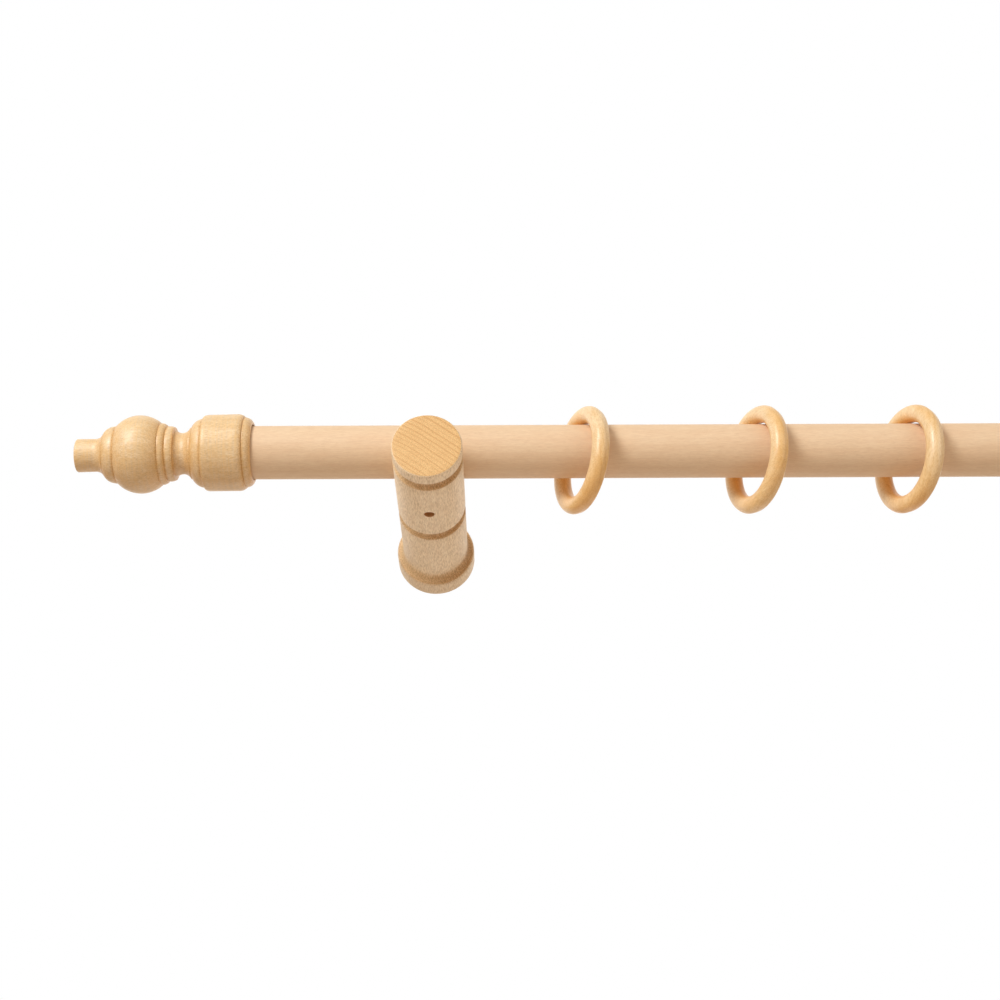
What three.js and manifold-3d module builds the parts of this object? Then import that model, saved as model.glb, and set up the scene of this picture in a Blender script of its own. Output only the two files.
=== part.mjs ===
// Wooden curtain rod on two turned wall brackets, with push-on finials and plain wooden rings.
// Millimetres, +Z up. +X runs along the rod, +Y goes into the wall. The origin is on the wall
// plane, midway between the brackets and level with the axes of their arms.
import * as THREE from 'three';
import { mergeVertices } from 'three/addons/utils/BufferGeometryUtils.js';
import Module from 'manifold-3d';

const wasm = await Module();
wasm.setup();

// ---- driving dimensions ----
const GAP = 0.3; // air left between pieces that rest on each other

const ROD_LENGTH = 1200;
const ROD_RADIUS = 14;
const ROD_IN_FINIAL = 27; // how far a rod end goes into its finial
const ROD_CHAMFER = 0.6;

const ARM_LENGTH = 133;
const ARM_RADIUS = 17.85;
const ARM_CHAMFER = 0.7;
const ROD_ABOVE_ARM = 18.9; // rod axis above arm axis
const ROD_BEHIND_FRONT = 40.7; // rod axis behind the arm's front face
const GROOVE_FRONTS = [7.5, 63.5]; // where each groove starts behind the front face
const GROOVE_WIDTH = 7.1;
const GROOVE_DEPTH = 1.5;
const COVE_LENGTH = 8;
const FLANGE_RADIUS = 21.5;
const FLANGE_THICKNESS = 12.5;
const FLANGE_ROUNDING = 1.6;

const FINIAL_LENGTH = 92.4;
const FINIAL_RIM_FROM_BRACKET = 92.7; // finial's rim to the bracket's centre plane
const FINIAL_BALL = { radius: 16.2, off: 4.3, at: 33.3, from: 21.7, to: 44.0 }; // off: centre to axis
const SOCKET_RADIUS = ROD_RADIUS + 0.5;
const SOCKET_DEPTH = ROD_IN_FINIAL + 1;

const LOCK_HEAD_RADIUS = 2.4;
const LOCK_HEAD_HEIGHT = 2.2;
const LOCK_SHANK_RADIUS = 1.5;
const LOCK_BORE_RADIUS = 2.75;
const LOCK_SEAT_HEIGHT = -6; // where the head is seated, from the arm's axis
const LOCK_IN_ROD = 8;

const BOLT_RADIUS = 4;
const BOLT_IN_ARM = 42;
const BOLT_IN_WALL = 38;
const BOLT_POINT = 7;
const INSERT_RADIUS = 6;
const INSERT_LENGTH = 20;
const INSERT_RECESS = 0.5;

const RING_RADIUS = 24.1; // centre line of the ring
const RING_SECTION_RADIUS = 4.6;
const RING_COUNT = 10;
const FIRST_RINGS = [78.8, 170.1, 249.7]; // from the left bracket
const RING_TURNS = [22.1, 21.2, 19.8, 20.6, 21.7, 20.2, 22.0, 21.1, 19.9, 21.5]; // degrees

// ---- places worked out from them ----
const BRACKET_X = ROD_LENGTH / 2 - ROD_IN_FINIAL - FINIAL_RIM_FROM_BRACKET;
const ROD_Y = ROD_BEHIND_FRONT - ARM_LENGTH;
const ROD_Z = ROD_ABOVE_ARM;
const SADDLE_RADIUS = ROD_RADIUS + GAP;
const PAST_ARM = FLANGE_RADIUS + 5; // a cutter this long goes right through the arm
const SIDES = [
  { side: 'left', sign: -1 },
  { side: 'right', sign: 1 },
];

// ---- materials ----
const wood = (color, roughness) => new THREE.MeshStandardMaterial({ color, roughness, metalness: 0 });
const metal = (color, roughness) => new THREE.MeshStandardMaterial({ color, roughness, metalness: 1 });
const RAW_BEECH = wood(0xe9c9a2, 0.62);
const ARM_BEECH = wood(0xdcb888, 0.6);
const FINIAL_BEECH = wood(0xe8c48a, 0.5);
const RING_BEECH = wood(0xefc07c, 0.42);
const ZINC = metal(0xc2c4c6, 0.38);
const YELLOW_ZINC = metal(0xc9a557, 0.4);

// ---- solids ----
// A closed mesh as a solid: vertices shared, empty triangles dropped.
function toSolid(geometry) {
  geometry.deleteAttribute('normal');
  geometry.deleteAttribute('uv');
  const merged = mergeVertices(geometry, 1e-4);
  const index = merged.index.array;
  const kept = [];
  for (let i = 0; i < index.length; i += 3) {
    const [a, b, c] = index.slice(i, i + 3);
    if (a !== b && b !== c && c !== a) kept.push(a, b, c);
  }
  return new wasm.Manifold(new wasm.Mesh({
    numProp: 3,
    vertProperties: new Float32Array(merged.attributes.position.array),
    triVerts: new Uint32Array(kept),
  }));
}

function toGeometry(solid) {
  const mesh = solid.getMesh();
  const geometry = new THREE.BufferGeometry();
  geometry.setAttribute('position', new THREE.BufferAttribute(mesh.vertProperties, 3));
  geometry.setIndex(new THREE.BufferAttribute(mesh.triVerts, 1));
  geometry.computeVertexNormals();
  return geometry;
}

// A turned solid: the profile holds (radius, distance along the axis), rising along the axis,
// the axis is turned from +Y onto +X, +Y or +Z, and the whole is then moved to its place.
function turned(profile, segments, axis = 'Y', place = [0, 0, 0]) {
  const geometry = new THREE.LatheGeometry(profile, segments);
  if (axis === 'X') geometry.rotateZ(-Math.PI / 2);
  if (axis === 'Z') geometry.rotateX(Math.PI / 2);
  geometry.translate(...place);
  return toSolid(geometry);
}

// The profile of a plain round column.
const column = (radius, from, to) => [
  new THREE.Vector2(0, from),
  new THREE.Vector2(radius, from),
  new THREE.Vector2(radius, to),
  new THREE.Vector2(0, to),
];

function named(name, solid, material, place = [0, 0, 0]) {
  const mesh = new THREE.Mesh(toGeometry(solid), material);
  mesh.name = name;
  mesh.position.set(...place);
  return mesh;
}

// ---- rod ----
// Plain pole, its ends lightly chamfered, with a pilot hole for each lock screw underneath.
function makeRod() {
  const half = ROD_LENGTH / 2;
  const profile = [
    new THREE.Vector2(0, -half),
    new THREE.Vector2(ROD_RADIUS - ROD_CHAMFER, -half),
    new THREE.Vector2(ROD_RADIUS, -half + ROD_CHAMFER),
    new THREE.Vector2(ROD_RADIUS, half - ROD_CHAMFER),
    new THREE.Vector2(ROD_RADIUS - ROD_CHAMFER, half),
    new THREE.Vector2(0, half),
  ];
  let solid = turned(profile, 48, 'X');
  for (const { sign } of SIDES) {
    const pilot = column(LOCK_SHANK_RADIUS + GAP, -ROD_RADIUS - 1, -ROD_RADIUS + LOCK_IN_ROD + GAP);
    solid = solid.subtract(turned(pilot, 16, 'Z', [sign * BRACKET_X, 0, 0]));
  }
  return named('curtain_rod', solid, RAW_BEECH, [0, ROD_Y, ROD_Z]);
}

// ---- brackets ----
// One turned arm: chamfered front face, two cove grooves, and a cove out to the wall flange.
// The profile runs from the front face at 0 to the wall face at ARM_LENGTH.
function armProfile() {
  const path = new THREE.Path();
  path.moveTo(0, 0);
  path.lineTo(ARM_RADIUS - ARM_CHAMFER, 0);
  path.lineTo(ARM_RADIUS, ARM_CHAMFER);
  for (const front of GROOVE_FRONTS) {
    path.lineTo(ARM_RADIUS, front);
    path.quadraticCurveTo(
      ARM_RADIUS - 2 * GROOVE_DEPTH, front + GROOVE_WIDTH / 2, ARM_RADIUS, front + GROOVE_WIDTH);
  }
  const flangeFront = ARM_LENGTH - FLANGE_THICKNESS;
  path.lineTo(ARM_RADIUS, flangeFront - COVE_LENGTH);
  path.quadraticCurveTo(
    ARM_RADIUS, flangeFront - 1, FLANGE_RADIUS - FLANGE_ROUNDING, flangeFront);
  path.quadraticCurveTo(
    FLANGE_RADIUS, flangeFront, FLANGE_RADIUS, flangeFront + FLANGE_ROUNDING);
  path.lineTo(FLANGE_RADIUS, ARM_LENGTH - ARM_CHAMFER);
  path.lineTo(FLANGE_RADIUS - ARM_CHAMFER, ARM_LENGTH);
  path.lineTo(0, ARM_LENGTH);
  return path.getPoints(4);
}

// The arm with its open saddle for the rod, the stepped bore of the lock screw and, from the
// wall side, the bore of the threaded insert with the bolt's own bore behind it.
function makeArm(side, sign) {
  const underRod = [0, ROD_Y, 0];
  const cuts = [
    turned(column(SADDLE_RADIUS, -PAST_ARM, PAST_ARM), 48, 'X', [0, ROD_Y, ROD_Z]),
    turned(column(LOCK_BORE_RADIUS, -PAST_ARM, LOCK_SEAT_HEIGHT), 20, 'Z', underRod),
    turned(column(LOCK_SHANK_RADIUS + GAP, -PAST_ARM, ARM_RADIUS / 2), 16, 'Z', underRod),
    turned(column(INSERT_RADIUS + GAP, -INSERT_RECESS - INSERT_LENGTH - GAP, PAST_ARM), 24),
    turned(column(BOLT_RADIUS + GAP, -BOLT_IN_ARM - 2, PAST_ARM), 20),
  ];
  let solid = turned(armProfile(), 32, 'Y', [0, -ARM_LENGTH, 0]);
  for (const cut of cuts) solid = solid.subtract(cut);
  return named(`bracket_arm_${side}`, solid, ARM_BEECH, [sign * BRACKET_X, 0, 0]);
}

// Small screw, its head sunk deep in the arm, that goes up through the arm into the rod.
function makeLockScrew(side, sign) {
  const top = ROD_Z - ROD_RADIUS + LOCK_IN_ROD;
  const seat = LOCK_SEAT_HEIGHT - GAP;
  const profile = [
    new THREE.Vector2(0, seat - LOCK_HEAD_HEIGHT),
    new THREE.Vector2(LOCK_HEAD_RADIUS * 0.7, seat - LOCK_HEAD_HEIGHT),
    new THREE.Vector2(LOCK_HEAD_RADIUS, seat - LOCK_HEAD_HEIGHT * 0.6),
    new THREE.Vector2(LOCK_HEAD_RADIUS, seat),
    new THREE.Vector2(LOCK_SHANK_RADIUS, seat),
    new THREE.Vector2(LOCK_SHANK_RADIUS, top - 2.5),
    new THREE.Vector2(0.3, top),
    new THREE.Vector2(0, top),
  ];
  const place = [sign * BRACKET_X, ROD_Y, 0];
  return named(`rod_lock_screw_${side}`, turned(profile, 16, 'Z'), ZINC, place);
}

// Screw-in nut sunk in the wall end of the arm.
function makeInsert(side, sign) {
  const inner = BOLT_RADIUS + GAP;
  const front = -INSERT_RECESS - INSERT_LENGTH;
  const back = -INSERT_RECESS;
  const profile = [
    new THREE.Vector2(inner, back),
    new THREE.Vector2(inner, front),
    new THREE.Vector2(INSERT_RADIUS - 0.8, front),
    new THREE.Vector2(INSERT_RADIUS, front + 1.6),
    new THREE.Vector2(INSERT_RADIUS, back),
    new THREE.Vector2(inner, back),
  ];
  return named(`threaded_insert_${side}`, turned(profile, 24), YELLOW_ZINC, [sign * BRACKET_X, 0, 0]);
}

// Hanger bolt: machine thread in the insert, pointed wood thread in the wall.
function makeBolt(side, sign) {
  const profile = [
    new THREE.Vector2(0, -BOLT_IN_ARM),
    new THREE.Vector2(BOLT_RADIUS - 0.7, -BOLT_IN_ARM),
    new THREE.Vector2(BOLT_RADIUS, -BOLT_IN_ARM + 0.7),
    new THREE.Vector2(BOLT_RADIUS, BOLT_IN_WALL - BOLT_POINT),
    new THREE.Vector2(0.4, BOLT_IN_WALL),
    new THREE.Vector2(0, BOLT_IN_WALL),
  ];
  return named(`hanger_bolt_${side}`, turned(profile, 20), ZINC, [sign * BRACKET_X, 0, 0]);
}

// ---- finials ----
// One turned finial, from the tip at 0 to the rim at FINIAL_LENGTH, then back down its socket.
function finialProfile() {
  const path = new THREE.Path();
  path.moveTo(0, 0);
  // stub
  path.lineTo(8.1, 0);
  path.lineTo(8.7, 0.6);
  path.lineTo(8.6, 9.6);
  // flare and first bead
  path.quadraticCurveTo(8.6, 12.8, 11.6, 14.7);
  path.lineTo(12.2, 14.9);
  path.quadraticCurveTo(14.6, 16.5, 14.9, 20.6);
  path.lineTo(14.9, 21.4);
  // ball
  const { radius, off, at, from, to } = FINIAL_BALL;
  path.absarc(off, at, radius, Math.asin((from - at) / radius), Math.asin((to - at) / radius), false);
  // two beads
  path.lineTo(15.9, 44.4);
  path.quadraticCurveTo(16.4, 46.0, 14.9, 47.6);
  path.lineTo(14.1, 47.8);
  path.quadraticCurveTo(14.8, 49.8, 13.8, 51.7);
  // neck
  path.lineTo(12.2, 52.0);
  path.quadraticCurveTo(9.1, 56.0, 13.0, 59.7);
  path.lineTo(13.9, 60.9);
  // cup: two roundings, a straight wall and a rim bead
  path.lineTo(14.7, 61.0);
  path.quadraticCurveTo(17.6, 62.8, 18.2, 66.5);
  path.lineTo(18.6, 66.7);
  path.quadraticCurveTo(19.9, 67.0, 20.0, 69.4);
  path.lineTo(20.15, 85.0);
  path.quadraticCurveTo(19.9, 87.0, 18.9, 88.0);
  path.lineTo(18.3, 88.3);
  path.quadraticCurveTo(18.0, 91.2, 15.2, FINIAL_LENGTH);
  // socket
  path.lineTo(SOCKET_RADIUS, FINIAL_LENGTH);
  path.lineTo(SOCKET_RADIUS, FINIAL_LENGTH - SOCKET_DEPTH);
  path.lineTo(0, FINIAL_LENGTH - SOCKET_DEPTH);
  return path.getPoints(4);
}

// The right finial is the left one turned end for end about the vertical.
function makeFinial(side, sign) {
  const solid = turned(finialProfile(), 28, 'X', [-FINIAL_LENGTH, 0, 0]);
  const rimX = sign * (BRACKET_X + FINIAL_RIM_FROM_BRACKET);
  const finial = named(`finial_${side}`, solid, FINIAL_BEECH, [rimX, ROD_Y, ROD_Z]);
  if (sign > 0) finial.rotation.z = Math.PI;
  return finial;
}

// ---- rings ----
// Each ring hangs on the top of the rod, turned a little about the vertical.
function makeRing(number) {
  const lastFixed = FIRST_RINGS[FIRST_RINGS.length - 1];
  const farEnd = 2 * BRACKET_X - FIRST_RINGS[0];
  const pitch = (farEnd - lastFixed) / (RING_COUNT - FIRST_RINGS.length);
  const along = FIRST_RINGS[number - 1] ?? lastFixed + pitch * (number - FIRST_RINGS.length);
  const geometry = new THREE.TorusGeometry(RING_RADIUS, RING_SECTION_RADIUS, 8, 28);
  geometry.rotateY(Math.PI / 2);
  geometry.rotateX(Math.PI / 2);
  const hang = ROD_Z + ROD_RADIUS + GAP - (RING_RADIUS - RING_SECTION_RADIUS);
  const ring = named(`ring_${String(number).padStart(2, '0')}`, toSolid(geometry), RING_BEECH,
    [along - BRACKET_X, ROD_Y, hang]);
  ring.rotation.z = THREE.MathUtils.degToRad(RING_TURNS[number - 1]);
  return ring;
}

// ---- assembly ----
const curtainRail = new THREE.Group();
curtainRail.add(makeRod());
for (const { side, sign } of SIDES) {
  curtainRail.add(makeArm(side, sign));
  curtainRail.add(makeLockScrew(side, sign));
  curtainRail.add(makeInsert(side, sign));
  curtainRail.add(makeBolt(side, sign));
  curtainRail.add(makeFinial(side, sign));
}
for (let number = 1; number <= RING_COUNT; number += 1) {
  curtainRail.add(makeRing(number));
}

export default curtainRail;
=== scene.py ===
"""Looks for the wooden curtain rod: turned beech pieces, rings, steel fixings, stage, light and camera.

Places are in metres in the CAD frame: +X along the rod, +Y into the wall, +Z up. The outlines of the
pieces are in mm.
"""
import math

import bmesh
import bpy
import numpy as np
from mathutils import Matrix, Vector


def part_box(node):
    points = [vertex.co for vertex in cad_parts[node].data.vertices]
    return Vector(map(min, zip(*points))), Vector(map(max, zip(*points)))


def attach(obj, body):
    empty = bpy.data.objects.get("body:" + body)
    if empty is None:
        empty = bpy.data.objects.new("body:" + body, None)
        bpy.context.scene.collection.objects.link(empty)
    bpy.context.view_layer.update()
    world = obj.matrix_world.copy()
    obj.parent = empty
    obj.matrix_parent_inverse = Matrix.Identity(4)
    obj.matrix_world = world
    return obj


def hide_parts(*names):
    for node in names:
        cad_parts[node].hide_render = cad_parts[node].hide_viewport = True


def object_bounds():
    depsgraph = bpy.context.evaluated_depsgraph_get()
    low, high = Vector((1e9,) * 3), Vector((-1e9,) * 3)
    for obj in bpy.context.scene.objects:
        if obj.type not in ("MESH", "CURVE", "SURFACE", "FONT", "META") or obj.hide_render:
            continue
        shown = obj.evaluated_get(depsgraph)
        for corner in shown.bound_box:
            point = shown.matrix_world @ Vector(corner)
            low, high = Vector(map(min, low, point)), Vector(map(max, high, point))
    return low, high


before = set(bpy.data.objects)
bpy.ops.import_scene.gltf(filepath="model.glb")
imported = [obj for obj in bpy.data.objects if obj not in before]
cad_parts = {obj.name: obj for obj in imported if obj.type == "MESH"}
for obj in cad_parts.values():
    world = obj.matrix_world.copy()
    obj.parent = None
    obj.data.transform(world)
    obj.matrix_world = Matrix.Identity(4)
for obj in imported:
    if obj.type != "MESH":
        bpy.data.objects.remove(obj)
cad_low, cad_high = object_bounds()

MM = 0.001
TINY = 1e-6
WELD = 0.005 * MM  # vertices closer than this are joined after a cut
SIDES = {"left": -1, "right": 1}
RINGS = [f"ring_{number:02d}" for number in range(1, 11)]

# fits between the pieces, in mm
AIR = 0.3  # the gap that touching pieces keep
SCREW_HEAD_BORE = 2.75  # radius of the bore in the arm that the lock screw's head goes up
SCREW_BORE = 1.8  # radius of the bore for its shank, which goes on into the rod


# ---------------------------------------------------------------- places from the frame
def middle(node):
    low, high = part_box(node)
    return (low + high) / 2


def size(node):
    low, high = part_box(node)
    return high - low


ROD = middle("curtain_rod")
ROD_RADIUS = size("curtain_rod").z / 2
ROD_LENGTH = size("curtain_rod").x
ARM = {side: middle(f"bracket_arm_{side}") for side in SIDES}
ARM_LENGTH = size("bracket_arm_left").y
FLANGE_RADIUS = size("bracket_arm_left").z / 2
FINIAL_LENGTH = size("finial_left").x
BOLT_RADIUS = size("hanger_bolt_left").x / 2
INSERT_RADIUS = size("threaded_insert_left").x / 2

# the camera stands this far from the point of the rod's axis above the left bracket
CAMERA_FROM_ROD = Vector((0.0379, -0.7334, -0.4086))
CAMERA_YAW, CAMERA_PITCH, CAMERA_ROLL = (math.radians(a) for a in (-0.126, 27.400, -0.154))
CAMERA_LENS = 57.68
CAMERA_SENSOR = 36.0


# ---------------------------------------------------------------- camera
def make_camera():
    sy, cy = math.sin(CAMERA_YAW), math.cos(CAMERA_YAW)
    sp, cp = math.sin(CAMERA_PITCH), math.cos(CAMERA_PITCH)
    ahead = Vector((sy * cp, cy * cp, sp))
    right = Vector((cy, -sy, 0))
    up = right.cross(ahead)
    sr, cr = math.sin(CAMERA_ROLL), math.cos(CAMERA_ROLL)
    right, up = cr * right + sr * up, -sr * right + cr * up
    data = bpy.data.cameras.new("camera")
    data.lens = CAMERA_LENS
    data.sensor_width = CAMERA_SENSOR
    data.clip_start, data.clip_end = 0.01, 200
    camera = bpy.data.objects.new("camera", data)
    turn = Matrix((right, up, -ahead)).transposed().to_4x4()
    place = Vector((ARM["left"].x, ROD.y, ROD.z)) + CAMERA_FROM_ROD
    camera.matrix_world = Matrix.Translation(place) @ turn
    bpy.context.scene.collection.objects.link(camera)
    bpy.context.scene.camera = camera


# ---------------------------------------------------------------- outlines
class Outline:
    """The half-section of a turned piece: points of (radius, distance along the axis), in mm."""

    def __init__(self, radius, along):
        self.points = [(radius, along)]

    def line(self, radius, along, steps=1):
        r0, t0 = self.points[-1]
        for i in range(1, steps + 1):
            s = i / steps
            self.points.append((r0 + (radius - r0) * s, t0 + (along - t0) * s))

    def curve(self, control, end, steps):
        """A rounding from the last point to end, bent towards control."""
        start = self.points[-1]
        for i in range(1, steps + 1):
            s = i / steps
            self.points.append(tuple(
                (1 - s) ** 2 * a + 2 * s * (1 - s) * b + s * s * c
                for a, b, c in zip(start, control, end)))

    def arc(self, centre, radius, start, end, steps):
        for i in range(steps + 1):
            a = start + (end - start) * i / steps
            self.points.append((centre[0] + radius * math.cos(a), centre[1] + radius * math.sin(a)))


def thread_radius(radius, depth, pitch, sharpness=1.0):
    """A thread's radius for an angle in turns and a distance in mm. depth is from crest to root."""
    def at(turn, along):
        phase = (along / pitch - turn) % 1.0
        crest = 1 - abs(2 * phase - 1)
        return radius - depth * (1 - min(1.0, crest * (1 + sharpness)) ** sharpness)
    return at


def turned(name, points, origin, axis, segments, radius_at=None):
    """A closed turned mesh. points are in mm; radius_at(turn, along, radius) may change a radius.

    An outline that starts on the axis also ends there, and any other outline is joined end to start.
    """
    axis = Vector(axis).normalized()
    side = Vector((0, 0, 1)) if abs(axis.z) < 0.9 else Vector((1, 0, 0))
    across = axis.cross(side).normalized()
    mesh = bmesh.new()
    rows = []
    for radius, along in points:
        centre = Vector(origin) + axis * (along * MM)
        if radius < TINY:
            rows.append([mesh.verts.new(centre)])
            continue
        row = []
        for i in range(segments):
            turn = i / segments
            r = radius if radius_at is None else radius_at(turn, along, radius)
            a = 2 * math.pi * turn
            row.append(mesh.verts.new(centre + (side * math.cos(a) + across * math.sin(a)) * (r * MM)))
        rows.append(row)
    closed = len(rows[0]) > 1
    for row, after in zip(rows, rows[1:] + ([rows[0]] if closed else [])):
        if len(row) == 1 and len(after) == 1:
            continue
        for i in range(segments):
            j = (i + 1) % segments
            corners = [row[i % len(row)], row[j % len(row)]]
            corners += [after[j % len(after)], after[i % len(after)]]
            mesh.faces.new(list(dict.fromkeys(corners)))
    bmesh.ops.recalc_face_normals(mesh, faces=mesh.faces)
    return new_object(name, mesh)


def new_object(name, mesh):
    data = bpy.data.meshes.new(name)
    mesh.to_mesh(data)
    mesh.free()
    piece = bpy.data.objects.new(name, data)
    bpy.context.scene.collection.objects.link(piece)
    return piece


def cut(piece, cutters):
    """Cuts the cutters out of the piece, and removes them."""
    for cutter in cutters:
        modifier = piece.modifiers.new("cut", "BOOLEAN")
        modifier.operation = "DIFFERENCE"
        modifier.solver = "EXACT"
        modifier.object = cutter
    bpy.context.view_layer.update()
    evaluated = piece.evaluated_get(bpy.context.evaluated_depsgraph_get())
    data = bpy.data.meshes.new_from_object(evaluated)
    piece.modifiers.clear()
    piece.data = data
    for cutter in cutters:
        bpy.data.objects.remove(cutter)
    clean = bmesh.new()
    clean.from_mesh(piece.data)
    bmesh.ops.remove_doubles(clean, verts=clean.verts, dist=WELD)
    clean.to_mesh(piece.data)
    clean.free()


def plug(radius, low, high):
    """The outline of a plain round cutter, in mm."""
    return [(0, low), (radius, low), (radius, high), (0, high)]


def smooth(piece, edge_angle):
    piece.data.shade_smooth()
    piece.data.set_sharp_from_angle(angle=math.radians(edge_angle))


# ---------------------------------------------------------------- what the wood knows
FULLY_END = 0.97  # a surface this square to the fibres shows end grain only
SHADE_FADE = 1.6  # how fast a mark's painted shade fades round the piece, from its shaded side, as a power


def write_attribute(piece, name, kind, values, domain="POINT"):
    attribute = piece.data.attributes.new(name, kind, domain)
    key = "vector" if kind == "FLOAT_VECTOR" else "value"
    attribute.data.foreach_set(key, np.asarray(values, np.float32).ravel())


def vertices(piece):
    co = np.empty(len(piece.data.vertices) * 3)
    piece.data.vertices.foreach_get("co", co)
    return co.reshape(-1, 3)


def set_grain(piece, along, pith, origin):
    """Stores each vertex's place in the plank: along the grain, and the two ways across it.

    pith is the step from the tree's centre to the piece's origin, in metres. Only its part across the
    grain counts.
    """
    along = Vector(along).normalized()
    pith = Vector(pith)
    pith = pith - along * pith.dot(along)
    first = pith.normalized()
    second = along.cross(first)
    local = vertices(piece) - np.array(origin)
    basis = np.array([along, first, second]).T
    place = local @ basis
    place[:, 1] += pith.length
    write_attribute(piece, "grain", "FLOAT_VECTOR", place)


def set_marks(piece, origin, axis, marks, grain, inside=None, end_from=0.12, under=1.0, painted_shade=0.0):
    """Stores where the piece is toasted or burnt, where it gets painted shade, where it shows end grain
    and what lines a bore.

    marks are (start, end, fade before, fade after, strength, side), the first four along the axis in
    mm. A mark's burn is also painted shade: it is darkest on the side that its last item points to,
    away from the key light, and that item's length says how much lighter it is on the other side.
    grain is the fibres' direction, and inside(centres, normals) says which faces line a bore; they are
    coloured as raw drilled wood, darkened further as painted shade. end_from is how square to the fibres
    a surface has to be before it starts to show end grain, which the marks hide. under is the painted
    shade on the lower side, and each vertex gets at least the painted shade given for it in the last
    argument.
    """
    origin, axis = np.array(origin), np.array(Vector(axis).normalized())
    local = vertices(piece) - origin
    along = local @ axis / MM
    outward = local - np.outer(along * MM, axis)
    outward /= np.maximum(np.linalg.norm(outward, axis=1, keepdims=True), TINY)
    burn_and_shade, toast = np.zeros(len(along)), np.zeros(len(along))
    for start, end, before, after, strength, shaded_side in marks:
        outside = np.maximum(start - along, 0) / before + np.maximum(along - end, 0) / after
        mark = np.exp(-outside ** 2)
        # painted shade: a mark is lighter on the side towards the key light
        lighter = (np.linalg.norm(shaded_side) - outward @ np.array(shaded_side)) / 2
        toast = np.maximum(toast, mark)
        burn_and_shade = np.maximum(burn_and_shade, strength * mark * np.clip(1 - lighter, 0, 1) ** SHADE_FADE)
    write_attribute(piece, "toast", "FLOAT", toast)
    write_attribute(piece, "burn_and_shade", "FLOAT", burn_and_shade)
    # painted shade on the lower side, and wherever the caller asks for it
    lower_side = np.clip(-outward[:, 2], 0, 1) ** 2
    write_attribute(piece, "painted_shade", "FLOAT", np.maximum(under * lower_side, painted_shade))
    facing = np.empty(len(along) * 3)
    piece.data.vertex_normals.foreach_get("vector", facing)
    across = np.abs(facing.reshape(-1, 3) @ np.array(Vector(grain).normalized()))
    step = np.clip((across - end_from) / (FULLY_END - end_from), 0, 1)
    write_attribute(piece, "endgrain", "FLOAT", step * step * (3 - 2 * step) * (1 - toast))
    count = len(piece.data.polygons)
    centres, normals = np.empty(count * 3), np.empty(count * 3)
    piece.data.polygons.foreach_get("center", centres)
    piece.data.polygons.foreach_get("normal", normals)
    centres, normals = centres.reshape(-1, 3), normals.reshape(-1, 3)
    # bore walls: raw drilled wood, darkened further as painted shade
    bore_wood_and_shade = np.zeros(count) if inside is None else inside(centres, normals)
    write_attribute(piece, "bore_wood_and_shade", "FLOAT", bore_wood_and_shade, "FACE")


# ---------------------------------------------------------------- materials
class Shader:
    """A material's node tree, with short calls for the nodes used here."""

    def __init__(self, name):
        self.material = bpy.data.materials.new(name)
        self.material.use_nodes = True
        self.tree = self.material.node_tree
        self.surface = self.tree.nodes["Principled BSDF"]

    def node(self, kind, inputs=(), **settings):
        node = self.tree.nodes.new(kind)
        for key, value in settings.items():
            setattr(node, key, value)
        for key, value in dict(inputs).items():
            self.feed(node.inputs[key], value)
        return node

    def feed(self, socket, value):
        if isinstance(value, bpy.types.NodeSocket):
            self.tree.links.new(value, socket)
        else:
            socket.default_value = value

    def attribute(self, name, output):
        return self.node("ShaderNodeAttribute", attribute_name=name).outputs[output]

    def math(self, operation, a, b=0.0):
        return self.node("ShaderNodeMath", {0: a, 1: b}, operation=operation).outputs[0]

    def times(self, a, b):
        return self.math("MULTIPLY", a, b)

    def vector(self, operation, a, b):
        return self.node("ShaderNodeVectorMath", {0: a, 1: b}, operation=operation).outputs[0]

    def scaled(self, vector, factors):
        return self.vector("MULTIPLY", vector, factors)

    def combine(self, x, y, z):
        return self.node("ShaderNodeCombineXYZ", {0: x, 1: y, 2: z}).outputs[0]

    def noise(self, vector, detail=2.0, roughness=0.5, output="Fac"):
        inputs = {"Vector": vector, "Scale": 1.0, "Detail": detail, "Roughness": roughness}
        return self.node("ShaderNodeTexNoise", inputs).outputs[output]

    def between(self, value, low, high, to_low=0.0, to_high=1.0, smoothly=True):
        node = self.node("ShaderNodeMapRange", {0: value, 1: low, 2: high, 3: to_low, 4: to_high})
        node.interpolation_type = "SMOOTHSTEP" if smoothly else "LINEAR"
        return node.outputs[0]

    def mix(self, factor, a, b, blend="MIX"):
        node = self.node("ShaderNodeMix", data_type="RGBA", blend_type=blend)
        for index, value in ((0, factor), (6, a), (7, b)):
            self.feed(node.inputs[index], value)
        return node.outputs[2]

    def bump(self, height, strength, distance):
        inputs = {"Strength": strength, "Distance": distance, "Height": height}
        self.feed(self.surface.inputs["Normal"], self.node("ShaderNodeBump", inputs).outputs[0])


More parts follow.
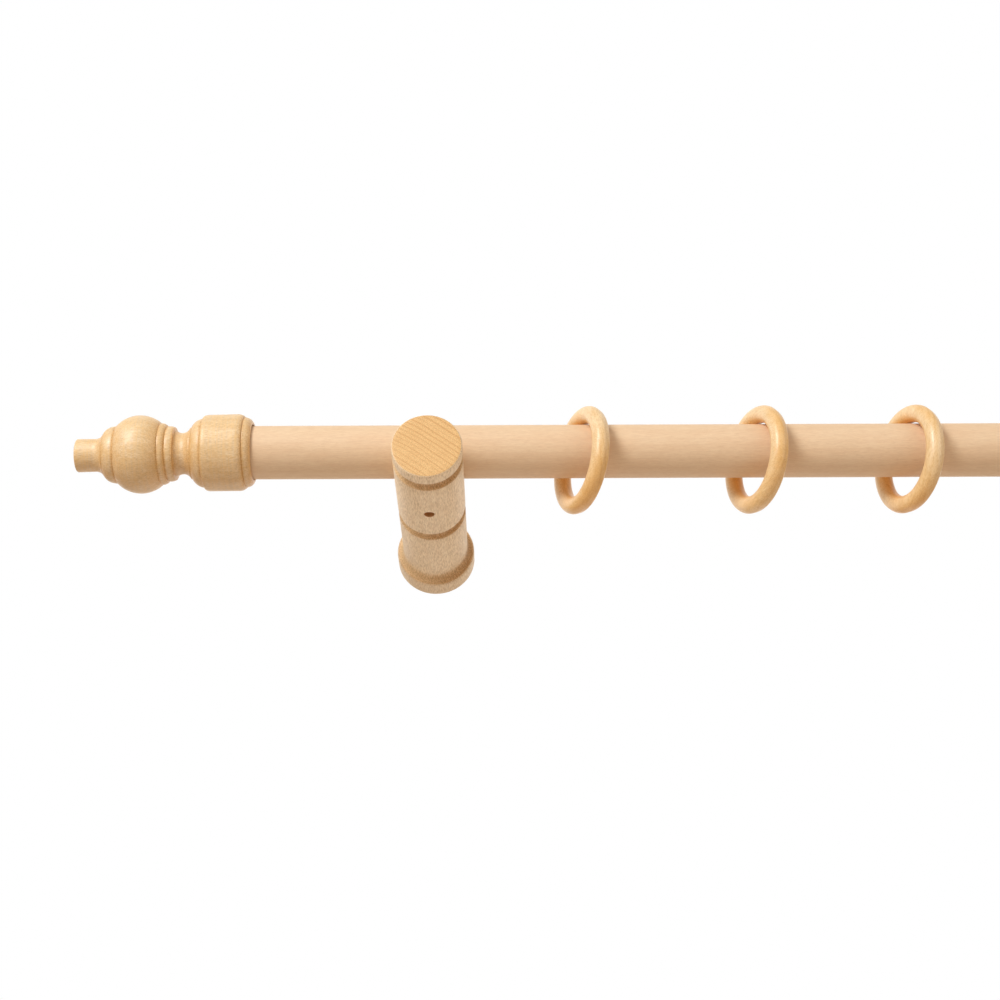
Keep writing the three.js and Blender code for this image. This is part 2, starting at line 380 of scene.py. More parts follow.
def beech(name, pale, deep, warm, late_wood, dark, end_tint, painted_shade, year, years, streaks, grit, speckle,
          flecks, mottle, blush, roughness, end_years=0.3, tick=4.0, lathe=0.0, relief=0.35, coat=0.0,
          bore_wood_and_shade=(0.2, 0.09, 0.04), burnt_and_shaded=(0.3, 0.15, 0.07), toasted=(1, 1, 1)):
    """Turned beech from its place in the plank: growth rings, mottling, ray flecks, fibres and pores.

    year is the width of a growth ring and tick the length of a fleck, in mm. years, end_years, streaks,
    grit, speckle, flecks, mottle, blush and lathe are strengths. lathe is for the fine lines that
    turning leaves around a piece whose axis follows the grain. The colours for bore walls, burns,
    painted shade and toasting colour what set_marks stores: bore walls are raw drilled wood darkened
    further as painted shade, and burns are darkened further on their shaded side as painted shade. The
    numbers that places are multiplied by are in features per metre.
    """
    shader = Shader(name)
    grain = shader.attribute("grain", "Vector")
    end = shader.attribute("endgrain", "Fac")
    side = shader.math("SUBTRACT", 1.0, end)
    # the grain wanders a little, so rings are never quite straight
    drift = shader.noise(shader.scaled(grain, (7, 30, 30)), detail=2, output="Color")
    drift = shader.vector("SUBTRACT", drift, (0.5, 0.5, 0.5))
    drift = shader.scaled(drift, (0, 3 * MM, 3 * MM))
    place = shader.vector("ADD", grain, drift)
    parts = shader.node("ShaderNodeSeparateXYZ", {0: place}).outputs
    along, first, second = parts[0], parts[1], parts[2]
    squares = shader.math("ADD", shader.times(first, first), shader.times(second, second))
    radius = shader.math("SQRT", squares)
    turn = shader.math("ARCTAN2", second, first)

    # growth rings: a slow darkening and then a sharp edge, some years stronger than others
    wide_or_narrow = shader.noise(shader.combine(0.0, shader.times(radius, 150), 0.0), detail=1)
    even = shader.math("DIVIDE", radius, year * MM)
    count = shader.math("ADD", even, shader.times(wide_or_narrow, 1.2))
    within = shader.math("FRACT", count)
    late = shader.times(shader.between(within, 0.50, 0.93), shader.between(within, 1.0, 0.95))
    strong = shader.noise(shader.combine(shader.math("FLOOR", count), 3.7, 0.0), detail=0)
    late = shader.times(late, shader.between(strong, 0.3, 0.65, 0.45, 1.0))

    # rays are thin sheets running out from the pith; fibres and pores run along the grain
    ray_place = shader.combine(
        shader.times(along, 420), shader.times(turn, 230), shader.times(radius, 70))
    rays = shader.between(shader.noise(ray_place, detail=1, roughness=0.4), 0.56, 0.72)
    fibre = shader.noise(shader.scaled(place, (140, 1900, 1900)), detail=2, roughness=0.6)
    finest = 2300  # the finest marks across the grain, per metre
    pore_place = shader.scaled(place, (1.3 / (tick * MM), finest, finest))
    pore = shader.between(shader.noise(pore_place, detail=2, roughness=0.7), 0.52, 0.64)
    tick_place = shader.scaled(place, (1 / (tick * MM), finest, finest))
    ticks = shader.between(shader.noise(tick_place, detail=1), 0.36, 0.66)
    turning = shader.between(shader.noise(shader.scaled(place, (1250, 50, 50)), detail=1), 0.35, 0.65)
    # cloudy changes of tone, long along the grain, and shorter warm patches
    cloud = shader.noise(shader.scaled(place, (45, 190, 190)), detail=3, roughness=0.6)
    patch = shader.noise(shader.scaled(place, (150, 420, 420)), detail=3, roughness=0.7)

    colour = shader.mix(shader.between(cloud, 0.32, 0.68, 0.0, mottle), (*pale, 1), (*deep, 1))
    colour = shader.mix(shader.between(patch, 0.42, 0.66, 0.0, blush), colour, (*warm, 1))
    bands = shader.times(late, shader.math("ADD", years, shader.times(end, end_years)))
    colour = shader.mix(bands, colour, (*late_wood, 1))
    colour = shader.mix(shader.times(shader.between(fibre, 0.38, 0.68), streaks), colour, (*deep, 1))
    flecked = shader.times(rays, shader.times(side, flecks))
    colour = shader.mix(flecked, colour, (*dark, 1))
    colour = shader.mix(shader.times(rays, shader.times(end, 0.35)), colour, (*pale, 1))
    colour = shader.mix(shader.times(ticks, grit), colour, (*dark, 1))
    colour = shader.mix(shader.times(pore, speckle), colour, (*dark, 1))
    colour = shader.mix(shader.times(turning, shader.times(side, lathe)), colour, (*warm, 1))
    colour = shader.mix(end, colour, shader.mix(1.0, colour, (*end_tint, 1), blend="MULTIPLY"))
    # painted shade: lower sides, ring insides and the flange's bottom are multiplied by a darker tint
    lower = shader.mix(1.0, colour, (*painted_shade, 1), blend="MULTIPLY")
    colour = shader.mix(shader.attribute("painted_shade", "Fac"), colour, lower)
    golden = shader.mix(1.0, colour, (*toasted, 1), blend="MULTIPLY")
    colour = shader.mix(shader.attribute("toast", "Fac"), colour, golden)
    # burn lines, darkened further on the side away from the key light as painted shade
    burn_and_shade = shader.attribute("burn_and_shade", "Fac")
    scorch = shader.noise(shader.scaled(place, (260, 900, 900)), detail=3, roughness=0.7)
    patchy = shader.between(scorch, 0.3, 0.7, 0.50, 1.0)
    colour = shader.mix(shader.times(burn_and_shade, patchy), colour, (*burnt_and_shaded, 1))
    scorched = shader.times(burn_and_shade, shader.times(ticks, 1.6 * grit))
    colour = shader.mix(scorched, colour, tuple(0.5 * c for c in burnt_and_shaded) + (1,))
    # bore walls: raw drilled wood, darkened further as painted shade
    colour = shader.mix(shader.attribute("bore_wood_and_shade", "Fac"), colour, (*bore_wood_and_shade, 1))

    surface = shader.surface.inputs
    shader.feed(surface["Base Color"], colour)
    shader.feed(surface["Roughness"], shader.between(fibre, 0.3, 0.7, *roughness, smoothly=False))
    surface["Coat Weight"].default_value = coat
    surface["Coat Roughness"].default_value = 0.42
    height = shader.math("SUBTRACT", shader.times(fibre, 0.6), shader.times(pore, 0.6))
    shader.bump(height, relief, 0.05 * MM)
    return shader.material


def plated(name, base, tint, roughness):
    """Zinc plating: faintly mottled in colour and roughness, with fine scratches."""
    shader = Shader(name)
    place = shader.node("ShaderNodeTexCoord").outputs["Object"]
    mottle = shader.noise(shader.scaled(place, (700, 700, 700)), detail=3, roughness=0.6)
    scratches = shader.noise(shader.scaled(place, (5000, 600, 5000)), detail=1)
    shader.feed(shader.surface.inputs["Base Color"],
                shader.mix(shader.between(mottle, 0.3, 0.7), (*base, 1), (*tint, 1)))
    shader.feed(shader.surface.inputs["Roughness"],
                shader.between(mottle, 0.3, 0.7, roughness - 0.08, roughness + 0.1, smoothly=False))
    shader.surface.inputs["Metallic"].default_value = 1.0
    shader.bump(scratches, 0.2, 0.02 * MM)
    return shader.material


# Each beech's darker tint for lower sides, ring insides and the flange's bottom is painted shade.
ROD_BEECH = beech(
    "rod_beech", pale=(0.84, 0.62, 0.405), deep=(0.77, 0.52, 0.32), warm=(0.81, 0.54, 0.33),
    late_wood=(0.60, 0.36, 0.20), dark=(0.58, 0.35, 0.19),
    end_tint=(0.95, 0.82, 0.62), year=3.0, years=0.08, streaks=0.15, grit=0.17, speckle=0.16,
    flecks=0.06, mottle=0.40, blush=0.18, painted_shade=(0.94, 0.93, 0.93), roughness=(0.52, 0.64))
ARM_BEECH = beech(
    "bracket_beech", pale=(0.97, 0.775, 0.535), deep=(0.865, 0.64, 0.42), warm=(0.89, 0.62, 0.37),
    late_wood=(0.66, 0.34, 0.12), dark=(0.42, 0.25, 0.10), burnt_and_shaded=(0.52, 0.255, 0.08),
    end_tint=(0.92, 0.75, 0.48), year=2.4, years=0.08, end_years=0.52, streaks=0.30, grit=0.36,
    speckle=0.32, tick=3.6, flecks=0.15, mottle=0.35, blush=0.25, bore_wood_and_shade=(0.62, 0.31, 0.12),
    painted_shade=(0.88, 0.85, 0.82), toasted=(1.0, 0.92, 0.77), relief=0.2, roughness=(0.46, 0.60))
FINIAL_BEECH = beech(
    "finial_beech", pale=(0.92, 0.71, 0.455), deep=(0.80, 0.56, 0.30), warm=(0.87, 0.57, 0.25),
    late_wood=(0.66, 0.38, 0.14), dark=(0.48, 0.27, 0.10), burnt_and_shaded=(0.72, 0.37, 0.085),
    end_tint=(0.98, 0.86, 0.66), year=2.7, years=0.12, end_years=0.15, streaks=0.12, grit=0.33,
    speckle=0.30, tick=2.0, flecks=0.16, mottle=0.70, blush=0.50, lathe=0.50,
    bore_wood_and_shade=(0.60, 0.36, 0.18), painted_shade=(0.84, 0.79, 0.75), relief=0.2, roughness=(0.36, 0.50), coat=0.35)
RING_BEECH = beech(
    "ring_beech", pale=(0.96, 0.74, 0.47), deep=(0.83, 0.57, 0.28), warm=(0.90, 0.54, 0.19),
    late_wood=(0.66, 0.36, 0.10), dark=(0.56, 0.30, 0.08),
    end_tint=(0.97, 0.83, 0.60), year=2.4, years=0.14, end_years=0.15, streaks=0.12, grit=0.28,
    speckle=0.24, tick=2.0, flecks=0.14, mottle=0.6, blush=0.25, painted_shade=(0.94, 0.76, 0.45), relief=0.2,
    roughness=(0.30, 0.42), coat=0.35)
ZINC = plated("zinc", (0.60, 0.61, 0.63), (0.74, 0.75, 0.76), 0.34)
YELLOW_ZINC = plated("yellow_zinc", (0.62, 0.45, 0.17), (0.72, 0.58, 0.30), 0.38)


def dress(piece, material, body, node, edge_angle=32):
    """Gives a finished piece its material, smooth shading and its body, and hides the CAD node it stands
    for.
    """
    piece.data.materials.clear()
    piece.data.materials.append(material)
    smooth(piece, edge_angle)
    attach(piece, body)
    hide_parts(node)


# ---------------------------------------------------------------- rod
ROD_EDGE = 0.8  # the rounding of its ends, in mm
PILOT_DEPTH = 8.3  # how far the lock screws' bores go into it, in mm
ROD_GRAIN, ROD_PITH = (1, 0, 0.012), (0, -0.05, 0.06)


def make_rod():
    half = ROD_LENGTH / 2 / MM
    radius = ROD_RADIUS / MM
    outline = Outline(0, -half)
    outline.line(radius - ROD_EDGE, -half)
    outline.curve((radius, -half), (radius, -half + ROD_EDGE), 4)
    outline.line(radius, half - ROD_EDGE, steps=120)
    outline.curve((radius, half), (radius - ROD_EDGE, half), 4)
    outline.line(0, half)
    piece = turned("rod", outline.points, ROD, (1, 0, 0), segments=128)
    pilots = []
    for side in SIDES:
        below = Vector((ARM[side].x, ROD.y, ROD.z))
        pilot = plug(SCREW_BORE, -radius - 1, -radius + PILOT_DEPTH)
        pilots.append(turned("pilot", pilot, below, (0, 0, 1), 32))
    cut(piece, pilots)
    set_grain(piece, ROD_GRAIN, ROD_PITH, ROD)
    # painted shade on the rod's lower side, which set_marks darkens by default
    set_marks(piece, ROD, (1, 0, 0), [], grain=(1, 0, 0))
    dress(piece, ROD_BEECH, "rail", "curtain_rod")


# ---------------------------------------------------------------- brackets
ARM_RADIUS = 17.85
GROOVES = (7.5, 63.5)
GROOVE_WIDTH = 7.1
GROOVE_DEPTH = 1.5
FLANGE_THICKNESS = 12.5
COVE_LENGTH = 8.0
GROOVE_SHADED_SIDE, COVE_SHADED_SIDE = (0.70, 0, -0.85), (0.95, 0, -0.35)  # the sides they are darkest on: painted shade, away from the key light
# strengths of the grooves' and the cove's burn, which also carries their painted shade
GROOVE_BURN_AND_SHADE, COVE_BURN_AND_SHADE = 1.08, 0.95
ARM_GRAIN, ARM_PITH = (0, 1, 0.02), (0.140, 0, 0.200)
HEAD_BORE_TOP, SCREW_BORE_TOP = -6, 9  # how high the lock screw's bores reach, from the arm's axis
INSERT_BORE_DEPTH, BOLT_BORE_DEPTH = 20.8, 44
ACROSS, BEYOND = 30, 5  # how far cutters reach across the arm, and beyond its wall end
NEARLY = 0.05  # allowance when a bore's faces are picked by their place
ON_THE_WALL = 0.5  # faces of a bore whose normals lean less than this along it are its wall, not its end


def arm_outline():
    length, flange = ARM_LENGTH / MM, FLANGE_RADIUS / MM
    outline = Outline(0, 0)
    # front end with a softly broken edge
    outline.line(ARM_RADIUS - 1.1, 0, steps=6)
    outline.curve((ARM_RADIUS - 0.15, 0.05), (ARM_RADIUS, 1.2), 6)
    # round grooves with small roundings at both edges
    for front in GROOVES:
        outline.line(ARM_RADIUS, front - 0.3, steps=8)
        outline.curve((ARM_RADIUS, front), (ARM_RADIUS - 0.25, front + 0.3), 3)
        outline.curve((ARM_RADIUS - 2 * GROOVE_DEPTH, front + GROOVE_WIDTH / 2),
                      (ARM_RADIUS - 0.25, front + GROOVE_WIDTH - 0.3), 14)
        outline.curve((ARM_RADIUS, front + GROOVE_WIDTH), (ARM_RADIUS, front + GROOVE_WIDTH + 0.3), 3)
    # the cove that widens to the flange, and the flange
    flange_front = length - FLANGE_THICKNESS
    outline.line(ARM_RADIUS, flange_front - COVE_LENGTH, steps=8)
    outline.curve((ARM_RADIUS, flange_front - 0.8), (flange - 1.5, flange_front), 12)
    outline.curve((flange, flange_front), (flange, flange_front + 1.8), 8)
    outline.line(flange, length - 1.2, steps=4)
    outline.curve((flange, length), (flange - 1.2, length), 6)
    outline.line(0, length, steps=3)
    return outline.points


def arm_marks():
    """The grooves and the cove are burnt brown, most at their wall side, and darkened further on their
    right and lower sides as painted shade.
    """
    marks = []
    for front in GROOVES:
        start, end = front + 0.66 * GROOVE_WIDTH, front + 0.91 * GROOVE_WIDTH
        fade_before, fade_after = 0.40 * GROOVE_WIDTH, 0.09 * GROOVE_WIDTH
        marks.append((start, end, fade_before, fade_after, GROOVE_BURN_AND_SHADE, GROOVE_SHADED_SIDE))
    flange_front = ARM_LENGTH / MM - FLANGE_THICKNESS
    start, end = flange_front - 0.45 * COVE_LENGTH, flange_front - 0.1
    marks.append((start, end, 0.45 * COVE_LENGTH, 0.3, COVE_BURN_AND_SHADE, COVE_SHADED_SIDE))
    return marks


def make_arm(side):
    centre = ARM[side]
    front = Vector((centre.x, centre.y - ARM_LENGTH / 2, centre.z))
    piece = turned(f"arm_{side}", arm_outline(), front, (0, 1, 0), segments=128)
    wall = front + Vector((0, ARM_LENGTH, 0))
    above = Vector((centre.x, ROD.y, centre.z))
    rod_axis = Vector((centre.x, ROD.y, ROD.z))
    radius = ROD_RADIUS / MM
    insert, bolt = INSERT_RADIUS / MM + AIR, BOLT_RADIUS / MM + AIR
    cutters = [
        turned("saddle", plug(radius + AIR, -ACROSS, ACROSS), rod_axis, (1, 0, 0), 160),
        turned("head_bore", plug(SCREW_HEAD_BORE, -ACROSS, HEAD_BORE_TOP), above, (0, 0, 1), 48),
        turned("shank_bore", plug(SCREW_BORE, -ACROSS, SCREW_BORE_TOP), above, (0, 0, 1), 32),
        turned("insert_bore", plug(insert, -INSERT_BORE_DEPTH, BEYOND), wall, (0, 1, 0), 64),
        turned("bolt_bore", plug(bolt, -BOLT_BORE_DEPTH, BEYOND), wall, (0, 1, 0), 48),
    ]
    cut(piece, cutters)
    set_grain(piece, ARM_GRAIN, ARM_PITH, front)

    # the bore walls are coloured as raw drilled wood, darkened further as painted shade
    def in_bore(centres, normals):
        """The walls of the screw's bore, below the rod, and of the bolt's and the insert's bores."""
        from_screw = np.hypot(centres[:, 0] - above.x, centres[:, 1] - above.y) / MM
        from_bolt = np.hypot(centres[:, 0] - wall.x, centres[:, 2] - wall.z) / MM
        drilled = (from_screw < SCREW_HEAD_BORE + NEARLY) & (centres[:, 2] < ROD.z)
        drilled &= np.abs(normals[:, 2]) < ON_THE_WALL
        bolted = (from_bolt < insert + NEARLY) & (centres[:, 1] > wall.y - BOLT_BORE_DEPTH * MM)
        bolted &= np.abs(normals[:, 1]) < ON_THE_WALL
        return (drilled | bolted).astype(float)

    # painted shade: of the arm, only the flange is darker towards its bottom
    place = vertices(piece)
    on_flange = place[:, 1] > wall.y - FLANGE_THICKNESS * MM
    lower = np.clip((centre.z - place[:, 2]) / FLANGE_RADIUS, 0, 1)
    set_marks(piece, front, (0, 1, 0), arm_marks(), grain=(0, 1, 0), inside=in_bore, end_from=0.80,
              under=0.0, painted_shade=on_flange * lower ** 2)
    dress(piece, ARM_BEECH, "rail", f"bracket_arm_{side}")


# ---------------------------------------------------------------- steel fixings
SCREW_HEAD_HEIGHT, HEAD_ROUNDING, HEAD_FLAT = 2.2, 1.1, 0.55  # HEAD_FLAT is a share of its radius
SCREW_SHANK, SCREW_TIP = 1.5, 0.12  # radii
SCREW_POINT = 2.5  # length of the tip
RECESS = (2.9, 0.7, 2.0)  # length, width and height of each slot of the cross
BOLT_POINT = 8.0
MACHINE_THREAD_END, WOOD_THREAD_START = 42.0, 45.0  # the bolt is bare between them
BARE = 0.9  # the bare part's radius as a share of the thread's
# threads: depth as a share of the radius, and pitch
SCREW_THREAD, INSERT_THREAD = (0.32, 1.3), (0.16, 2.6)
MACHINE_THREAD, WOOD_THREAD = (0.16, 1.25), (0.30, 3.4)
COARSE = 0.8  # sharpness of the bolt's wood thread and of the insert's thread


def make_lock_screw(side):
    low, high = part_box(f"rod_lock_screw_{side}")
    foot = Vector(((low.x + high.x) / 2, (low.y + high.y) / 2, low.z))
    top = (high.z - low.z) / MM
    head = (high.x - low.x) / 2 / MM
    outline = Outline(0, 0)
    outline.line(head * HEAD_FLAT, 0)
    outline.curve((head, 0), (head, HEAD_ROUNDING), 8)
    outline.line(head, SCREW_HEAD_HEIGHT)
    outline.line(SCREW_SHANK, SCREW_HEAD_HEIGHT)
    outline.line(SCREW_SHANK, top - SCREW_POINT, steps=96)
    outline.line(SCREW_TIP, top, steps=12)
    outline.line(0, top)
    thread = thread_radius(1.0, *SCREW_THREAD)

    def shank(turn, along, radius):
        if along <= SCREW_HEAD_HEIGHT + TINY or radius > SCREW_SHANK + TINY:
            return radius
        return radius * thread(turn, along)

    piece = turned(f"lock_screw_{side}", outline.points, foot, (0, 0, 1), 32, shank)
    wings = []
    for angle in (0, math.pi / 2):
        wing = bmesh.new()
        bmesh.ops.create_cube(wing, size=1)
        bmesh.ops.scale(wing, vec=tuple(extent * MM for extent in RECESS), verts=wing.verts)
        bmesh.ops.rotate(wing, cent=(0, 0, 0), matrix=Matrix.Rotation(angle, 3, "Z"), verts=wing.verts)
        bmesh.ops.translate(wing, vec=foot, verts=wing.verts)
        wings.append(new_object("recess", wing))
    cut(piece, wings)
    dress(piece, ZINC, "rail", f"rod_lock_screw_{side}")


def make_bolt(side):
    low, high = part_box(f"hanger_bolt_{side}")
    start = Vector(((low.x + high.x) / 2, low.y, (low.z + high.z) / 2))
    length = (high.y - low.y) / MM
    radius = BOLT_RADIUS / MM
    outline = Outline(0, 0)
    outline.line(radius - 0.8, 0)
    outline.line(radius, 0.8)
    outline.line(radius, MACHINE_THREAD_END, steps=270)
    outline.line(radius, WOOD_THREAD_START, steps=4)
    outline.line(radius, length - BOLT_POINT, steps=130)
    outline.line(0.2, length, steps=40)
    outline.line(0, length)
    machine = thread_radius(1.0, *MACHINE_THREAD)
    wooden = thread_radius(1.0, *WOOD_THREAD, sharpness=COARSE)

    def threads(turn, along, radius_here):
        if 1.0 < along < MACHINE_THREAD_END:
            return radius_here * machine(turn, along)
        if WOOD_THREAD_START < along < length - 0.01:
            return radius_here * wooden(turn, along)
        return radius_here * (BARE if MACHINE_THREAD_END <= along <= WOOD_THREAD_START else 1)

    piece = turned(f"bolt_{side}", outline.points, start, (0, 1, 0), 40, threads)
    dress(piece, ZINC, "rail", f"hanger_bolt_{side}", edge_angle=50)


def make_insert(side):
    low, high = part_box(f"threaded_insert_{side}")
    start = Vector(((low.x + high.x) / 2, low.y, (low.z + high.z) / 2))
    length = (high.y - low.y) / MM
    outer, inner = INSERT_RADIUS / MM, BOLT_RADIUS / MM + AIR
    outline = Outline(inner, length)
    outline.line(inner, 0)
    outline.line(outer - 1.2, 0)
    outline.line(outer, 1.8, steps=4)
    outline.line(outer, length - 1.2, steps=60)
    outline.line(outer, length)
    thread = thread_radius(1.0, *INSERT_THREAD, sharpness=COARSE)

    def coarse(turn, along, radius):
        threaded = radius > inner + 0.5 and along < length - 1.3
        return radius * thread(turn, along) if threaded else radius

    piece = turned(f"insert_{side}", outline.points, start, (0, 1, 0), 48, coarse)
    dress(piece, YELLOW_ZINC, "rail", f"threaded_insert_{side}", edge_angle=50)


# ---------------------------------------------------------------- finials
SOCKET_RADIUS = 14.5
SOCKET_DEPTH = 28.0
DROOP = math.radians(1.05)  # the socket is loose, so the left finial hangs a little
BALL_CENTRE, BALL_BEND = (4.3, 33.3), 16.2  # the ball's arc, as (radius, along) and its own radius
FINIAL_LINES = (14.8, 21.5, 44.2, 47.7, 51.9, 61.0, 66.6, 88.2)  # its steps, darker than the rest
LINE_FADE, LINE_BURN = 0.9, 0.65
AROUND_SOCKET, BEHIND_SOCKET = 0.45, 1.0  # how far past the socket its bore colour reaches, in mm; at the rim it is a painted shadow line in the gap round the rod
TIP_BACK = 0.2  # how far the drooping finial is moved in, so that its tip stays behind its rest plane


def finial_outline():
    """From the tip at 0 to the rim, then back down the socket."""
    rim = FINIAL_LENGTH / MM
    outline = Outline(0, 0)
    # stub with a softly broken edge
    outline.line(7.9, 0, steps=4)
    outline.curve((8.7, 0), (8.7, 0.9), 6)
    outline.line(8.6, 9.6, steps=8)
    # flare and first bead
    outline.curve((8.6, 12.8), (11.5, 14.4), 14)
    outline.line(11.45, 14.8)
    outline.line(12.2, 14.9)
    outline.curve((14.7, 16.5), (15.0, 20.6), 14)
    outline.line(14.75, 21.3)
    # ball
    low, high = (math.asin((along - BALL_CENTRE[1]) / BALL_BEND) for along in (21.7, 44.0))
    outline.arc(BALL_CENTRE, BALL_BEND, low, high, 36)
    outline.line(16.0, 44.2)
    # two beads
    outline.line(16.05, 44.4)
    outline.curve((16.4, 46.0), (14.9, 47.5), 10)
    outline.line(14.3, 47.7)
    outline.line(14.4, 47.9)
    outline.curve((14.8, 49.8), (13.8, 51.6), 10)
    outline.line(12.2, 51.9)
    # neck and its fillet
    outline.curve((9.1, 56.0), (13.0, 59.6), 20)
    outline.line(13.6, 59.8)
    outline.line(13.9, 60.8)
    # cup: two roundings, a straight wall and a rim bead
    outline.line(14.7, 61.0)
    outline.curve((17.6, 62.8), (18.2, 66.4), 14)
    outline.line(18.15, 66.6)
    outline.line(18.6, 66.7)
    outline.curve((19.9, 67.0), (20.0, 69.4), 9)
    outline.line(20.15, 85.0, steps=8)
    outline.curve((19.9, 87.0), (18.9, 88.0), 9)
    outline.line(18.25, 88.15)
    outline.line(18.4, 88.4)
    outline.curve((18.1, 91.2), (15.6, rim - 0.1), 12)
    outline.line(15.0, rim)
    outline.curve((SOCKET_RADIUS, rim), (SOCKET_RADIUS, rim - 0.5), 4)
    outline.line(SOCKET_RADIUS, rim - SOCKET_DEPTH, steps=12)
    outline.line(0, rim - SOCKET_DEPTH, steps=4)
    return outline.points


def make_finial(side, sign):
    low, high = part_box(f"finial_{side}")
    tip = Vector((low.x if sign < 0 else high.x, ROD.y, ROD.z))
    inward = Vector((-sign, 0, 0))
    piece = turned(f"turned_finial_{side}", finial_outline(), tip, inward, segments=160)
    set_grain(piece, (1, 0.03, 0.02), (0, -0.035 * sign, 0.055), tip)
    all_round = (0, 0, 0)
    marks = [(place, place, LINE_FADE, LINE_FADE, LINE_BURN, all_round) for place in FINIAL_LINES]

    # the socket is coloured as raw bored wood, darkened further as painted shade
    def in_socket(centres, _normals):
        away = np.hypot(centres[:, 1] - tip.y, centres[:, 2] - tip.z) / MM
        deep = np.abs(centres[:, 0] - tip.x) / MM
        bottom = FINIAL_LENGTH / MM - SOCKET_DEPTH
        return ((away < SOCKET_RADIUS + AROUND_SOCKET) & (deep > bottom - BEHIND_SOCKET)).astype(float)

    # painted shade on the finial's lower side, which set_marks darkens by default
    set_marks(piece, tip, inward, marks, grain=(1, 0, 0), inside=in_socket)
    if sign < 0:
        pivot = tip + inward * (FINIAL_LENGTH - 0.5 * SOCKET_DEPTH * MM)
        turn = Matrix.Rotation(-DROOP, 4, "Y")
        back = Matrix.Translation(inward * TIP_BACK * MM)
        piece.data.transform(back @ Matrix.Translation(pivot) @ turn @ Matrix.Translation(-pivot))
    dress(piece, FINIAL_BEECH, f"finial_{side}", f"finial_{side}", edge_angle=40)


# ---------------------------------------------------------------- rings
RING_RADIUS = 24.1
RING_SECTION = 4.6
RING_FACET = 0.22  # how far the lathe's facets on the outside cut into the round section
# each ring is cut from another place: its grain's angle in radians, and its step from the pith in metres
SPIN_FIRST, SPIN_STEP = -2.15, 1.1
PITH_FIRST, PITH_STEP, PITH_ASIDE = 0.05, 0.004, 0.02


def ring_section(steps=64):
    """The ring's section as (outward, across) in mm: round inside, softly faceted outside."""
    points = []
    for i in range(steps):
        a = 2 * math.pi * i / steps
        outer = max(0.0, math.cos(a * 0.5)) ** 2
        radius = RING_SECTION - RING_FACET * outer * (1 - math.cos(8 * a)) / 2
        points.append((radius * math.cos(a), radius * math.sin(a)))
    return points


def ring_yaw(node):
    """A ring's turn about the vertical, from the direction its vertices lie in."""
    co = vertices(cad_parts[node])[:, :2]
    flat = co - co.mean(0)
    mixed, spread = (flat[:, 0] * flat[:, 1]).mean(), (flat[:, 0] ** 2 - flat[:, 1] ** 2).mean()
    return 0.5 * math.atan2(2 * mixed, spread)


def make_ring(number, node):
    centre = middle(node)
    yaw = ring_yaw(node)
    sideways = Vector((math.cos(yaw), math.sin(yaw), 0))
    across = Vector((-math.sin(yaw), math.cos(yaw), 0))
    up = Vector((0, 0, 1))
    mesh = bmesh.new()
    segments = 144
    section = ring_section()
    rows = []
    for i in range(segments):
        a = 2 * math.pi * i / segments
        outward = sideways * math.cos(a) + up * math.sin(a)
        rows.append([
            mesh.verts.new(centre + (outward * (RING_RADIUS + out) + across * side) * MM)
            for out, side in section])
    for i, row in enumerate(rows):
        after = rows[(i + 1) % segments]
        for j in range(len(row)):
            k = (j + 1) % len(row)
            mesh.faces.new([row[j], row[k], after[k], after[j]])
    bmesh.ops.recalc_face_normals(mesh, faces=mesh.faces)
    piece = new_object(f"wooden_ring_{number:02d}", mesh)
    spin = SPIN_STEP * number + SPIN_FIRST
    along = sideways * math.cos(spin) + up * math.sin(spin)
    pith = across * (PITH_FIRST + PITH_STEP * number) + up.cross(along) * PITH_ASIDE
    set_grain(piece, along, pith, centre)
    # painted shade: the inside of the ring and its lower side are tinted a deeper orange
    inner = np.array([max(0.0, -out / RING_SECTION) for out, _ in section] * segments)
    set_marks(piece, centre, across, [], grain=along, under=0.6, painted_shade=inner)
    dress(piece, RING_BEECH, node, node, edge_angle=60)


# ---------------------------------------------------------------- stage and light
FLOOR_BELOW, FLOOR_REACH = 2.6, 60  # metres under the lowest piece, and out to each side
FLOOR_COLOUR, FLOOR_SEEN = (0.69, 0.61, 0.535, 1), (0.92, 0.915, 0.905, 1)
LIGHT_COLOUR = (1, 0.95, 0.885, 1)
FRONT_LIGHT, BACK_LIGHT = 0.49, 1.4
STRONGEST_FROM = 0.8  # the light is at its strongest from where its direction has this much of +Y
LIT_X = -0.30  # the lights look at the left half, and fall off gently to the right


def make_floor():
    """A pale floor. Its bounced light is warm; seen directly it is a plain off-white."""
    mesh = bmesh.new()
    bmesh.ops.create_grid(mesh, x_segments=8, y_segments=8, size=FLOOR_REACH)
    floor = new_object("floor", mesh)
    floor.location = (0, 0, cad_low.z - FLOOR_BELOW)
    shader = Shader("pale_floor")
    shader.surface.inputs["Base Color"].default_value = FLOOR_COLOUR
    shader.surface.inputs["Roughness"].default_value = 0.8
    look = shader.node("ShaderNodeEmission", {"Color": FLOOR_SEEN}).outputs[0]
    show(shader.tree, shader.surface.outputs[0], look, shader.tree.nodes["Material Output"])
    floor.data.materials.append(shader.material)


def show(tree, lights, looks, output):
    """Joins two shaders: one that lights the object, and one that is only seen."""
    path = tree.nodes.new("ShaderNodeLightPath")
    mix = tree.nodes.new("ShaderNodeMixShader")
    tree.links.new(path.outputs["Is Camera Ray"], mix.inputs[0])
    tree.links.new(lights, mix.inputs[1])
    tree.links.new(looks, mix.inputs[2])
    tree.links.new(mix.outputs[0], output.inputs["Surface"])


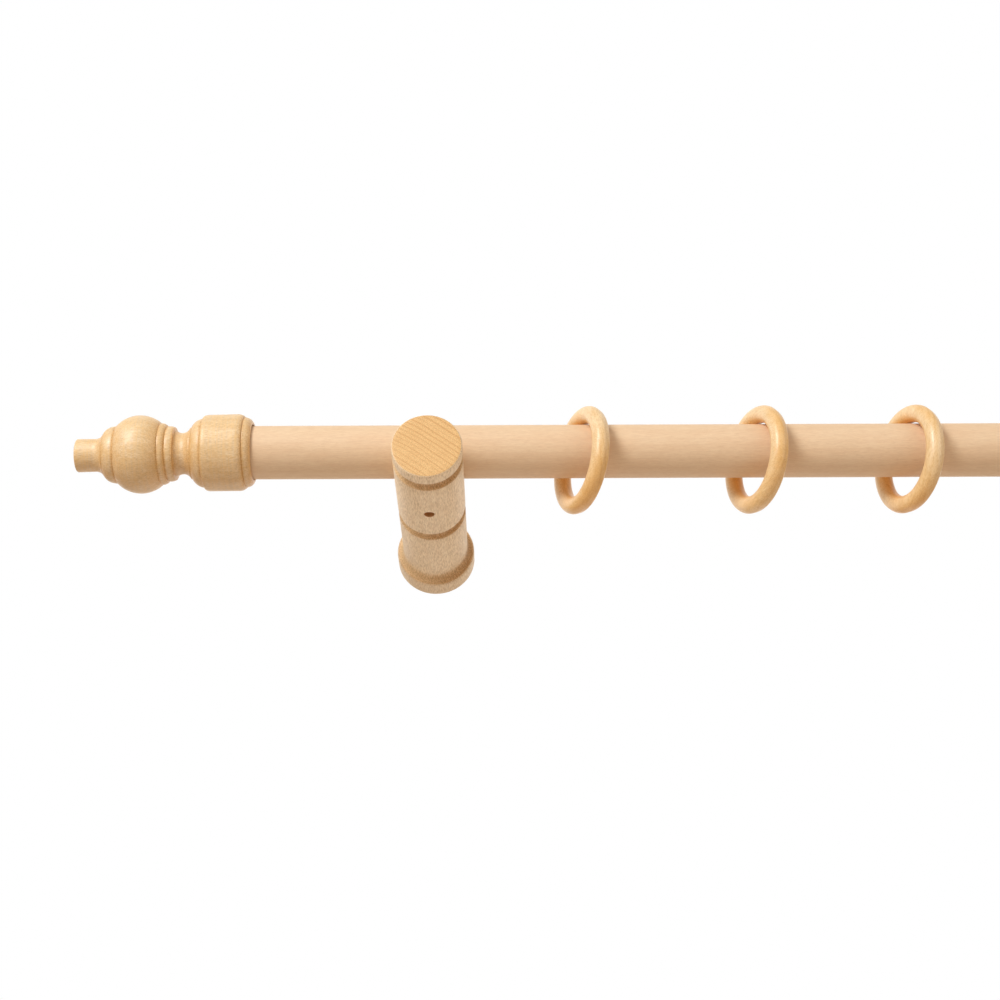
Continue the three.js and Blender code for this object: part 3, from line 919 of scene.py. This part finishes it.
def make_world():
    """Soft light from all around, stronger from behind, where a white backdrop would stand."""
    world = bpy.data.worlds.new("studio")
    bpy.context.scene.world = world
    world.use_nodes = True
    tree = world.node_tree
    nodes, links = tree.nodes, tree.links
    background = nodes["Background"]
    background.inputs["Color"].default_value = LIGHT_COLOUR
    direction = nodes.new("ShaderNodeSeparateXYZ")
    links.new(nodes.new("ShaderNodeTexCoord").outputs["Generated"], direction.inputs[0])
    strength = nodes.new("ShaderNodeMapRange")
    for index, value in enumerate((0.0, STRONGEST_FROM, FRONT_LIGHT, BACK_LIGHT), start=1):
        strength.inputs[index].default_value = value
    links.new(direction.outputs["Y"], strength.inputs[0])
    links.new(strength.outputs[0], background.inputs["Strength"])
    seen = nodes.new("ShaderNodeBackground")
    seen.inputs["Color"].default_value = (1, 1, 1, 1)
    seen.inputs["Strength"].default_value = 1.0
    show(tree, background.outputs[0], seen.outputs[0], nodes["World Output"])


def make_softbox(name, elevation, azimuth, distance, shape, power, colour):
    """An oval softbox, shape (width, height), that looks at the rail and isn't seen itself.

    Azimuth 0 shines along +Y from the room, and grows to the right.
    """
    data = bpy.data.lights.new(name, "AREA")
    data.shape = "ELLIPSE"
    data.size, data.size_y = shape
    data.energy = power
    data.color = colour
    box = bpy.data.objects.new(name, data)
    e, a = math.radians(elevation), math.radians(azimuth)
    towards = Vector((math.sin(a) * math.cos(e), -math.cos(a) * math.cos(e), math.sin(e)))
    box.location = Vector((LIT_X, ROD.y, ROD.z)) + towards * distance
    box.rotation_euler = towards.to_track_quat("Z", "Y").to_euler()
    box.visible_camera = False
    bpy.context.scene.collection.objects.link(box)


# ---------------------------------------------------------------- assembly
make_camera()
make_rod()
for side_name, side_sign in SIDES.items():
    make_arm(side_name)
    make_lock_screw(side_name)
    make_insert(side_name)
    make_bolt(side_name)
    make_finial(side_name, side_sign)
for ring_number, ring_node in enumerate(RINGS, start=1):
    make_ring(ring_number, ring_node)
make_floor()
make_world()
make_softbox("key", elevation=22, azimuth=-37, distance=2.8, shape=(1.1, 1.7), power=57,
             colour=(0.97, 0.985, 1))
make_softbox("fill", elevation=8, azimuth=48, distance=2.8, shape=(1.8, 1.8), power=9,
             colour=(1, 0.99, 0.97))
make_softbox("from_below", elevation=-34, azimuth=180, distance=1.9, shape=(2.4, 0.8), power=5.2,
             colour=(1, 0.99, 0.96))
bpy.context.scene.view_settings.view_transform = "Standard"
